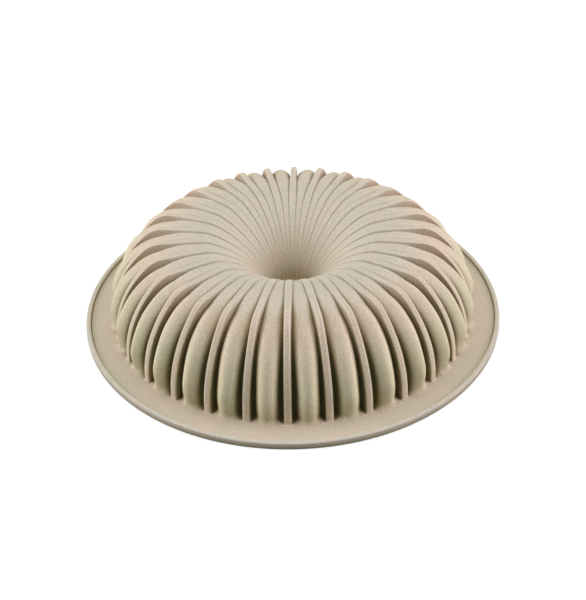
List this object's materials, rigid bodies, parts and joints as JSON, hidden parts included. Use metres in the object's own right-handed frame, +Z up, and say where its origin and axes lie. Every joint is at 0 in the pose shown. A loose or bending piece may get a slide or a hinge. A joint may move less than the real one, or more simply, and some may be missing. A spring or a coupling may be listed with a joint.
{
  "type": "silicone cake mould",
  "caption": "Fluted ring-cake mould of soft silicone with a flat brim, thin ribs between rounded lobes, a closed centre funnel and a wire-stiffened edge bead.",
  "frame": {"origin": "centre of the brim's underside, on the mould's axis, with the mould standing upside down on its brim", "axes": "+Z up along the mould's axis, from the brim to the crown; one rib lies on -Y, towards the viewer"},
  "size_m": [0.26, 0.26, 0.0547],
  "materials": {
    "silicone": "matte, with a fine moulded grain",
    "steel_wire": "drawn wire, dull"
  },
  "bodies": {
    "root": {"mould_body": "silicone", "rim_hoop": "steel_wire"}
  },
  "joints": []
}
